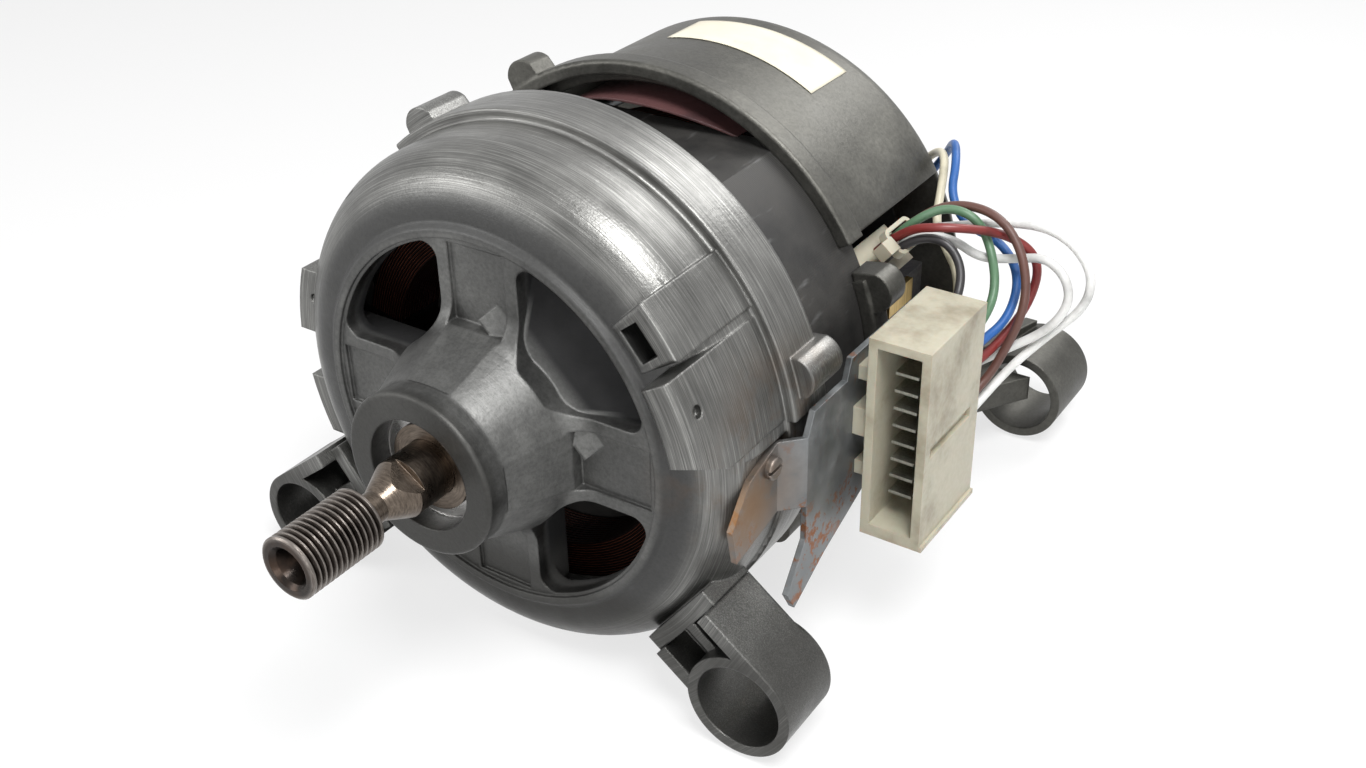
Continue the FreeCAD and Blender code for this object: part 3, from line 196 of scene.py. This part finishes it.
class Nodes:
    """Short calls that add nodes to one tree and return their output sockets."""

    def __init__(self, tree):
        self.tree = tree

    def feed(self, socket, value):
        """Link an output socket to this one, or set a number, vector or colour on it."""
        if isinstance(value, bpy.types.NodeSocket):
            self.tree.links.new(value, socket)
        elif isinstance(value, tuple) and len(value) < len(socket.default_value):
            socket.default_value = value + (1.0,)
        else:
            socket.default_value = value

    def set(self, node, **sockets):
        """Feed a node's sockets by name, with _ for a space."""
        for name, value in sockets.items():
            self.feed(node.inputs[name.replace("_", " ")], value)
        return node

    def node(self, kind, **sockets):
        return self.set(self.tree.nodes.new("ShaderNode" + kind), **sockets)

    def place(self):
        """Object coordinates."""
        return self.node("TexCoord").outputs["Object"]

    def parts(self, vector):
        return self.node("SeparateXYZ", Vector=vector).outputs

    def join(self, x, y, z):
        return self.node("CombineXYZ", X=x, Y=y, Z=z).outputs[0]

    def math(self, operation, *values):
        node = self.node("Math")
        node.operation = operation
        for socket, value in zip(node.inputs, values):
            self.feed(socket, value)
        return node.outputs[0]

    def chain(self, operation, first, *others):
        """One operation between the first value and each other in turn."""
        for value in others:
            first = self.math(operation, first, value)
        return first

    def product(self, *values):
        return self.chain("MULTIPLY", *values)

    def total(self, *values):
        return self.chain("ADD", *values)

    def largest(self, *values):
        return self.chain("MAXIMUM", *values)

    def ease(self, value, start, end, low=0.0, high=1.0):
        """A smooth step: low up to start and high from end on. Start may be the greater one."""
        node = self.node("MapRange")
        node.interpolation_type = "SMOOTHSTEP"
        for socket, number in zip(node.inputs, (value, start, end, low, high)):
            self.feed(socket, number)
        return node.outputs[0]

    def zone(self, value, start, end, low=0.0, high=1.0):
        """The same step for a length, with start and end in millimetres."""
        return self.ease(value, start * MM, end * MM, low, high)

    def near(self, vector, centre, reach):
        """1 at the centre, fading to 0 at the reach, both in millimetres."""
        gap = self.node("VectorMath", Vector=vector)
        gap.operation = "DISTANCE"
        gap.inputs[1].default_value = Vector(centre) * MM
        return self.zone(gap.outputs["Value"], reach, 0.0)

    def noise(self, vector, scale, detail=3.0, roughness=0.5):
        node = self.node("TexNoise", Vector=vector, Scale=scale, Detail=detail, Roughness=roughness)
        return node.outputs["Fac"]

    def waves(self, vector, scale, distortion, direction):
        node = self.node("TexWave", Vector=vector, Scale=scale, Distortion=distortion, Detail=2.0)
        node.bands_direction = direction
        return node.outputs["Fac"]

    def ramp(self, value, *stops):
        """Colours through (place, colour) stops, where a colour may be one grey number."""
        node = self.node("ValToRGB", Fac=value)
        elements = node.color_ramp.elements
        while len(elements) < len(stops):
            elements.new(0.5)
        for element, (place, colour) in zip(elements, stops):
            element.position = place
            element.color = ((colour,) * 3 if isinstance(colour, float) else colour) + (1.0,)
        return node.outputs["Color"]

    def blend(self, share, first, second, mode="MIX"):
        """The first colour with a share of the second over it."""
        node = self.node("Mix")
        node.data_type = "RGBA"
        node.blend_type = mode
        self.feed(node.inputs[MIX_SHARE], share)
        self.feed(node.inputs[MIX_FIRST], first)
        self.feed(node.inputs[MIX_SECOND], second)
        return node.outputs[MIX_COLOUR]

    def bump(self, height, distance, strength):
        """Normals of a height pattern, whose distance is in millimetres."""
        return self.node("Bump", Height=height, Distance=distance * MM, Strength=strength).outputs["Normal"]

    def soft_bump(self, height, distance, strength, edge):
        """The same over edges rounded to a radius in millimetres."""
        round_edges = self.node("Bevel", Radius=edge * MM)
        round_edges.samples = EDGE_SAMPLES
        node = self.node("Bump", Height=height, Distance=distance * MM, Strength=strength,
                         Normal=round_edges.outputs["Normal"])
        return node.outputs["Normal"]


class Finish(Nodes):
    """Material with one Principled shader, whose sockets are set by name."""

    def __init__(self, name, **sockets):
        self.material = bpy.data.materials.new(name)
        self.material.use_nodes = True
        super().__init__(self.material.node_tree)
        self.shader = self.tree.nodes["Principled BSDF"]
        self.skin(**sockets)

    def skin(self, **sockets):
        self.set(self.shader, **sockets)
        return self.material


def shaft_radius(made, x, z):
    """Distance from the shaft's axis, the root of x squared plus z squared."""
    return made.math("SQRT", made.total(made.product(x, x), made.product(z, z)))


def shaft_angle(made, x, z):
    """Angle round the shaft's axis in radians, from +X towards Z."""
    return made.math("ARCTAN2", z, x)


def turned_lines(made, here, fine):
    """Noise drawn out round the shaft's axis, as a lathe leaves it: fine across, long along the angle."""
    x, y, z = made.parts(here)
    across = made.product(shaft_radius(made, x, z), fine)
    stretched = made.join(across, made.product(y, fine), made.product(shaft_angle(made, x, z), 3.0))
    return made.noise(stretched, scale=1.0, detail=4.0, roughness=0.65)


def darker(colour, share):
    return tuple(part * share for part in colour)


# Finishes of the die castings

def as_cast(made, mottle, speckle):
    """Dull grey skin of the casting, mottled and finely pitted."""
    grey = made.ramp(mottle, (0.25, (0.080, 0.080, 0.078)), (0.55, (0.128, 0.128, 0.124)),
                     (0.85, (0.22, 0.22, 0.212)))
    return made.blend(0.35, grey, made.ramp(speckle, (0.3, 0.25), (0.62, 1.0)), "MULTIPLY")


def lathe_bright(made, here, lines):
    """Bright turned metal with dull patches."""
    bright = made.ramp(lines, (0.32, (0.125, 0.124, 0.119)), (0.55, (0.23, 0.229, 0.219)),
                       (0.76, (0.46, 0.458, 0.44)))
    patches = made.noise(here, scale=28.0, detail=4.0, roughness=0.6)
    return made.blend(1.0, bright, made.ramp(patches, (0.35, 0.62), (0.65, 1.0)), "MULTIPLY")


def pocket_painted_shade(made, x, y, z, radius):
    """Painted shade: 1 deep inside the face's windows, and a little sooner in the corner between +X and Z."""
    corner = made.product(made.zone(made.total(x, z), *CORNER_X_PLUS_Z),
                          made.zone(made.math("MINIMUM", x, z), *CORNER_SIDE),
                          made.zone(y, *CORNER_Y))
    deep = made.largest(corner, made.zone(y, *POCKET_Y))
    return made.product(deep, made.zone(radius, *WINDOW_RADIUS))


def face_shade_ring(made, y, radius, mottle):
    """Painted shade: a dark ring where the shoulder meets the face, uneven with the mottle."""
    return made.product(made.zone(radius, *BAND_INNER_RADIUS), made.zone(radius, *BAND_OUTER_RADIUS),
                        made.zone(y, *BAND_Y), made.ease(mottle, 0.2, 0.65, 0.35, 0.8))


def hub_face_and_bottom(made, y, z):
    """1 on the hub's face and on the drive end's lugs, and less on the lugs behind."""
    return made.product(made.largest(made.zone(y, *HUB_FACE_Y), made.zone(z, *LUG_Z)),
                        made.zone(y, *DRIVE_END_Y, 0.35, 1.0))


def cast_aluminium():
    """Grey die casting: mottled as cast, with lathe lines and bright worn places on the turned rims, painted
    shade deep in the windows and in a ring round the face, darker on the hub's face and towards the bottom,
    and rust about the bed of the connector's bracket."""
    made = Finish("cast_aluminium")
    here = made.place()
    x, y, z = made.parts(here)
    radius = shaft_radius(made, x, z)
    mottle = made.noise(here, scale=55.0, detail=5.0, roughness=0.6)
    speckle = made.noise(here, scale=900.0, detail=3.0, roughness=0.7)
    lines = turned_lines(made, here, fine=3600.0)
    turned = made.product(made.zone(radius, *TURNED_RADIUS), made.zone(y, *TURNED_Y))
    window_shade = pocket_painted_shade(made, x, y, z, radius)
    rust_cloud = made.noise(here, scale=70.0, detail=5.0, roughness=0.65)
    rust = made.product(made.near(here, *BED_RUST), made.ease(rust_cloud, 0.44, 0.66))
    colour = made.blend(turned, as_cast(made, mottle, speckle), lathe_bright(made, here, lines))
    # Painted shade: near black deep inside the windows
    colour = made.blend(made.product(window_shade, 0.97), colour, (0.004, 0.004, 0.0045))
    # A ring of painted shade where the shoulder meets the face
    colour = made.blend(face_shade_ring(made, y, radius, mottle), colour, (0.05, 0.05, 0.05))
    # Darker on the hub's face and towards the bottom
    colour = made.blend(made.product(hub_face_and_bottom(made, y, z), 0.7), colour, (0.040, 0.039, 0.036))
    yellowing = made.product(made.zone(y, *REAR_CASTING_Y), 0.7)
    colour = made.blend(yellowing, colour, (0.80, 0.775, 0.69), "MULTIPLY")
    colour = made.blend(made.product(rust, 0.8), colour, (0.15, 0.085, 0.04))
    rough = made.total(made.ease(mottle, 0.25, 0.75, 0.36, 0.56), made.product(turned, lines, -0.14),
                       made.product(window_shade, 0.4))
    height = made.total(made.product(speckle, 0.5), made.product(lines, 0.25), mottle)
    return made.skin(Base_Color=colour, Roughness=rough, Metallic=made.ease(window_shade, 0.0, 1.0, 0.9, 0.1),
                     Normal=made.soft_bump(height, 0.25, 0.5, edge=0.9))


# Finishes of the other metals

def tarnished_steel():
    """Ground steel with a brown tinge, brighter on the crests of the belt ribs."""
    made = Finish("shaft_steel", Metallic=1.0)
    here = made.place()
    x, y, z = made.parts(here)
    lines = turned_lines(made, here, fine=2500.0)
    stain = made.noise(here, scale=110.0, detail=4.0, roughness=0.6)
    on_ribs = made.zone(y, *PULLEY_END_Y)
    on_crests = made.product(made.zone(shaft_radius(made, x, z), *RIB_CREST_RADIUS), on_ribs)
    groove = made.blend(made.ease(stain, 0.35, 0.7), (0.028, 0.024, 0.022), (0.06, 0.04, 0.03))
    crest = made.ramp(lines, (0.3, (0.10, 0.085, 0.075)), (0.7, (0.27, 0.245, 0.225)))
    shank = made.ramp(lines, (0.3, (0.07, 0.056, 0.045)), (0.7, (0.19, 0.155, 0.125)))
    return made.skin(Base_Color=made.blend(on_ribs, shank, made.blend(on_crests, groove, crest)),
                     Roughness=made.ease(stain, 0.3, 0.7, 0.24, 0.42),
                     Normal=made.soft_bump(lines, 0.08, 0.5, edge=0.15))


def bright_metal(name, colour, rough):
    """Clean metal with faint turned lines."""
    made = Finish(name, Metallic=1.0)
    here = made.place()
    lines = turned_lines(made, here, fine=1800.0)
    cloud = made.noise(here, scale=200.0)
    return made.skin(Base_Color=made.blend(made.ease(lines, 0.3, 0.7), darker(colour, 0.7), colour),
                     Roughness=made.ease(cloud, 0.3, 0.7, rough - 0.06, rough + 0.08),
                     Normal=made.soft_bump(lines, 0.05, 0.4, edge=0.2))


def lamination():
    """Stacked dark sheet: a fine line between the sheets, with scuffs and dull rust."""
    made = Finish("lamination", Metallic=0.35)
    here = made.place()
    x, y, z = made.parts(here)
    sheets = made.waves(made.join(0.0, made.product(y, 1000.0), 0.0), 0.62, 0.6, "Y")
    stain = made.noise(here, scale=45.0, detail=5.0, roughness=0.65)
    along = made.join(made.product(x, 300.0), made.product(y, 60.0), made.product(z, 300.0))
    scuff = made.noise(along, scale=1.0)
    colour = made.ramp(stain, (0.3, (0.020, 0.020, 0.020)), (0.62, (0.045, 0.043, 0.040)),
                       (0.85, (0.095, 0.070, 0.050)))
    colour = made.blend(made.product(made.ease(scuff, 0.62, 0.8), 0.5), colour, (0.20, 0.20, 0.20))
    height = made.total(sheets, made.product(scuff, 0.6))
    return made.skin(Base_Color=colour, Roughness=made.ease(stain, 0.3, 0.7, 0.42, 0.62),
                     Normal=made.bump(height, 0.08, 0.6))


def wound_copper():
    """Enamelled wire seen as parallel strands, which slant across the shaft and wind round it: dark varnished
    wire with painted shade between the strands and painted highlights on their crests, darker still in front
    with painted shade."""
    made = Finish("copper_winding", Metallic=0.85, Roughness=0.34)
    here = made.place()
    x, y, z = made.parts(here)
    slant = made.total(made.product(shaft_radius(made, x, z), 1000.0), made.product(y, 700.0))
    round_shaft = made.product(shaft_angle(made, x, z), 2.0)
    strands = made.waves(made.join(slant, 0.0, round_shaft), 0.42, 1.6, "X")
    stain = made.noise(here, scale=120.0, detail=4.0)
    # Colour across each strand: painted shade between strands, the dark varnish, and painted highlights on
    # the crests
    colour = made.ramp(strands, (0.2, (0.006, 0.003, 0.002)), (0.7, (0.07, 0.018, 0.009)),
                       (0.97, (0.42, 0.12, 0.06)))
    colour = made.blend(0.5, colour, made.ramp(stain, (0.35, 0.3), (0.7, 1.0)), "MULTIPLY")
    # Painted shade on the front of the windings, inside the bracket
    front_shade = made.product(made.zone(y, *COIL_FRONT_Y), 0.7)
    colour = made.blend(front_shade, colour, (0.012, 0.006, 0.005))
    return made.skin(Base_Color=colour, Normal=made.bump(strands, 0.35, 0.9))


def zinc_plate():
    """Dull zinc plating with pale bloom, and rust in spots and all over the bracket's foot."""
    made = Finish("zinc_steel", Metallic=0.85)
    here = made.place()
    bloom = made.noise(here, scale=90.0, detail=5.0, roughness=0.65)
    spots = made.noise(here, scale=260.0, detail=4.0, roughness=0.7)
    areas = made.noise(here, scale=34.0)
    rust = made.product(made.ease(spots, 0.52, 0.62), made.ease(areas, 0.40, 0.56))
    foot = made.product(made.near(here, *FOOT_RUST), made.ease(bloom, 0.25, 0.5), 0.9)
    colour = made.ramp(bloom, (0.3, (0.13, 0.14, 0.145)), (0.6, (0.215, 0.225, 0.23)),
                       (0.85, (0.36, 0.365, 0.36)))
    colour = made.blend(rust, colour, (0.23, 0.085, 0.03))
    colour = made.blend(foot, colour, (0.20, 0.115, 0.055))
    return made.skin(Base_Color=colour, Roughness=made.ease(bloom, 0.3, 0.7, 0.36, 0.55),
                     Normal=made.soft_bump(bloom, 0.1, 0.4, edge=0.3))


# Finishes of plastic and paper

def moulded(name, colour, stained, rough, grain, glow):
    """Moulded plastic or carbon with faint dirt and a fine grain."""
    made = Finish(name, Specular_IOR_Level=0.5)
    here = made.place()
    dirt = made.noise(here, scale=60.0, detail=5.0, roughness=0.6)
    fine = made.noise(here, scale=700.0, detail=2.0)
    if glow:
        made.skin(Subsurface_Weight=glow, Subsurface_Scale=GLOW_DEPTH * MM)
    return made.skin(Base_Color=made.blend(made.ease(dirt, 0.42, 0.75), colour, stained),
                     Roughness=made.ease(fine, 0.3, 0.7, rough - 0.05, rough + 0.08),
                     Normal=made.soft_bump(fine, grain, 0.4, edge=0.3))


def cable_sheath(name, colour):
    """Soft sheath with a dull skin, a little darker where it has been handled."""
    made = Finish(name, Specular_IOR_Level=0.45)
    here = made.place()
    dirt = made.noise(here, scale=90.0, detail=4.0, roughness=0.6)
    grain = made.noise(here, scale=500.0)
    return made.skin(Base_Color=made.blend(made.ease(dirt, 0.45, 0.8), colour, darker(colour, 0.55)),
                     Roughness=made.ease(dirt, 0.3, 0.7, 0.36, 0.5), Normal=made.bump(grain, 0.05, 0.5))


def label_paper():
    """Bare cream paper, yellowed and scuffed."""
    made = Finish("label_paper", Specular_IOR_Level=0.35)
    here = made.place()
    age = made.noise(here, scale=70.0, detail=5.0, roughness=0.6)
    scuff = made.noise(here, scale=420.0, detail=3.0, roughness=0.7)
    colour = made.ramp(age, (0.3, (0.70, 0.66, 0.54)), (0.7, (0.58, 0.54, 0.43)))
    colour = made.blend(made.product(made.ease(scuff, 0.6, 0.75), 0.35), colour, (0.42, 0.40, 0.36))
    return made.skin(Base_Color=colour, Roughness=0.42, Normal=made.bump(age, 0.12, 0.4))


def slot_finishes():
    """The finish of each material slot in the record."""
    finishes = {
        "cast_aluminium": cast_aluminium(),
        "shaft_steel": tarnished_steel(),
        "lamination": lamination(),
        "copper_winding": wound_copper(),
        "zinc_steel": zinc_plate(),
    }
    for name, (colour, rough) in METALS.items():
        finishes[name] = bright_metal(name, colour, rough)
    for name, moulding in MOULDINGS.items():
        finishes[name] = moulded(name, *moulding)
    for name, (length, colour, route) in LEADS.items():
        finishes[name] = cable_sheath(name, colour)
    return finishes


def dress(obj, finish):
    """Give an object one finish, on every slot that it has or on a new one."""
    for slot in obj.material_slots:
        slot.material = finish
    if not obj.material_slots:
        obj.data.materials.append(finish)


def dress_nodes(finishes):
    """Give each node of the CAD the finish of its slot."""
    for entry in frame["record"]["subparts"]:
        dress(frame["nodes"][entry["node"]], finishes[entry["material_slot"]])


# New pieces

def link(name, data):
    """New object in the scene, at the origin."""
    obj = bpy.data.objects.new(name, data)
    bpy.context.scene.collection.objects.link(obj)
    return obj


def surface(name, grid):
    """Smooth mesh over a grid of points in millimetres: each quad joins a point to the next one in its row
    and to the same two in the next row."""
    rows, columns = grid.shape[:2]
    row, column = np.meshgrid(np.arange(rows - 1), np.arange(columns - 1), indexing="ij")
    corner = row * columns + column
    quads = np.stack([corner, corner + columns, corner + columns + 1, corner + 1], axis=-1).reshape(-1, 4)
    mesh = bpy.data.meshes.new(name)
    mesh.from_pydata((grid.reshape(-1, 3) * MM).tolist(), [], quads.tolist())
    mesh.shade_smooth()
    return link(name, mesh)


def leads(finishes):
    """Each lead is a tube of the lead's width along a smooth curve of order 3, with the route's points as its
    control points, from the terminal block or the rear to the connector."""
    for name, (length, colour, route) in LEADS.items():
        line = bpy.data.curves.new(name + "_cord", "CURVE")
        line.dimensions = "3D"
        line.bevel_depth = LEAD_WIDTH / 2 * MM
        line.bevel_resolution = LEAD_FACETS
        line.resolution_u = LEAD_STEPS
        line.use_fill_caps = True
        spline = line.splines.new("NURBS")
        spline.points.add(len(route) - 1)
        for point, place in zip(spline.points, route):
            point.co = tuple(c * MM for c in place) + (1.0,)
        spline.order_u = 3
        spline.use_endpoint_u = True
        cord = link(name + "_cord", line)
        dress(cord, finishes[name])
        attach(cord, "housing")
        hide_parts(name)


def rating_label():
    """Label on the arch, a patch of a cylinder round the shaft just over the arch's radius. Across it the
    angle falls evenly from the first angle by the label's angle. Along it y runs from the front edge over the
    width. The front edge moves forward by the slant and the width grows by the flare, evenly across."""
    rows, columns = np.linspace(0, 1, LABEL_ROWS), np.linspace(0, 1, LABEL_COLUMNS)
    across, along = np.meshgrid(rows, columns, indexing="ij")
    angle = np.radians(LABEL_FIRST_ANGLE - LABEL_ANGLE * across)
    y = LABEL_FRONT - LABEL_SLANT * across + (LABEL_WIDTH + LABEL_FLARE * across) * along
    radius = ARCH_RADIUS + LABEL_LIFT
    label = surface("rating_label", np.stack([radius * np.cos(angle), y, radius * np.sin(angle)], axis=-1))
    dress(label, label_paper())
    thick = label.modifiers.new("thickness", "SOLIDIFY")
    thick.thickness = LABEL_THICKNESS * MM
    thick.offset = 1.0
    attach(label, "housing")


# Camera, floor and light

def camera():
    """Camera whose own axes are the directions right, up and back."""
    lens = bpy.data.cameras.new("camera")
    lens.lens = CAMERA_LENS
    lens.sensor_width = CAMERA_SENSOR
    lens.clip_start = CAMERA_NEAREST * MM
    turn = Matrix((CAMERA_RIGHT, CAMERA_UP, CAMERA_BACK)).transposed()
    obj = link("camera", lens)
    obj.matrix_world = Matrix.Translation(Vector(CAMERA_PLACE) * MM) @ turn.to_4x4()
    bpy.context.scene.camera = obj


def to_the_eye(nodes):
    """1 for rays that come straight, in a reflection or through glass to the eye, and 0 for the light on the
    object."""
    ray = nodes.node("LightPath").outputs
    return nodes.largest(ray["Is Camera Ray"], ray["Is Glossy Ray"], ray["Is Transmission Ray"])


def floor_finish():
    """Pale matt floor, with some glow to the eye alone."""
    made = Finish("floor", Roughness=0.9, Specular_IOR_Level=0.1)
    mottle = made.noise(made.place(), scale=3.0)
    made.skin(Base_Color=made.ramp(mottle, (0.3, 0.88), (0.7, 0.9)))
    glow = made.node("Emission", Color=WHITE, Strength=1.0)
    mixed = made.node("MixShader", Fac=made.product(to_the_eye(made), FLOOR_GLOW))
    made.feed(mixed.inputs[1], made.shader.outputs[0])
    made.feed(mixed.inputs[2], glow.outputs[0])
    made.set(made.tree.nodes["Material Output"], Surface=mixed.outputs[0])
    return made.material


def floor():
    """Level square centred on the origin, a little under the lowest point of the CAD, facing up."""
    level = CAD_BOX[0][2] / MM - FLOOR_DROP
    far = FLOOR_REACH
    grid = np.array([[(far, -far, level), (far, far, level)], [(-far, -far, level), (-far, far, level)]])
    plane = surface("floor", grid)
    dress(plane, floor_finish())


def sky():
    """White all round to the eye, and a weaker light on the object."""
    world = bpy.data.worlds.new("studio")
    world.use_nodes = True
    bpy.context.scene.world = world
    nodes = Nodes(world.node_tree)
    strength = nodes.ease(to_the_eye(nodes), 0.0, 1.0, SKY_ON_THE_OBJECT, SKY_TO_THE_EYE)
    nodes.set(nodes.tree.nodes["Background"], Color=WHITE, Strength=strength)


def lamps():
    """Round lamps, each turned so that it shines at the middle of the motor."""
    for name, (place, width, power) in LAMPS.items():
        light = bpy.data.lights.new(name, "AREA")
        light.shape = "DISK"
        light.size = width * MM
        light.energy = power
        lamp = link(name, light)
        lamp.location = Vector(place) * MM
        lamp.rotation_euler = (Vector(LAMP_AIM) - Vector(place)).to_track_quat("-Z", "Y").to_euler()


camera()
slots = slot_finishes()
leads(slots)
rating_label()
dress_nodes(slots)
floor()
sky()
lamps()
bpy.context.scene.view_settings.view_transform = "Standard"
